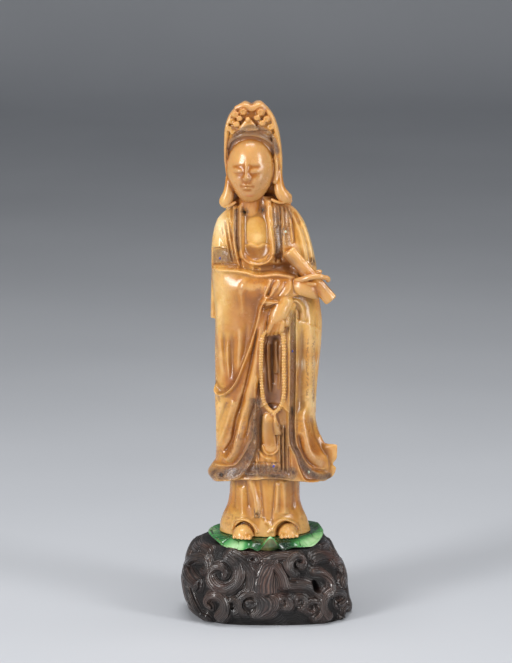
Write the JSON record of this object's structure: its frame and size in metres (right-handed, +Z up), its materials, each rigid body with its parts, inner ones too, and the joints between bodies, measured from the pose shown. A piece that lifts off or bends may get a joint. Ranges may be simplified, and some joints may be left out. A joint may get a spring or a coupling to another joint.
{
  "type": "guanyin figure",
  "caption": "Carved soapstone figure of a standing, hooded Guanyin holding a scroll and beads, on a green lotus leaf and a dark stand carved as breaking waves",
  "frame": {"origin": "on the flat underside of the stand, below the middle of the figure's base", "axes": "+Z up; the figure faces -Y; +X is to the viewer's right"},
  "size_m": [0.0962, 0.0712, 0.2873],
  "materials": {
    "soapstone": "waxed polish, honey to deep amber, slightly translucent, borders stained grey-brown",
    "stained_leaf": "green stained and polished, dark veins",
    "dark_hardwood": "oiled and polished, black-brown with reddish patches",
    "blue_inlay": "polished",
    "pale_inlay": "polished"
  },
  "bodies": {
    "root": {"guanyin_figure": "soapstone", "lotus_leaf": "stained_leaf", "wave_stand": "dark_hardwood", "inlay_sleeve": "blue_inlay", "inlay_front_border": "blue_inlay", "inlay_hem_centre": "blue_inlay", "inlay_collar": "pale_inlay", "inlay_right_hem": "pale_inlay"}
  },
  "joints": []
}
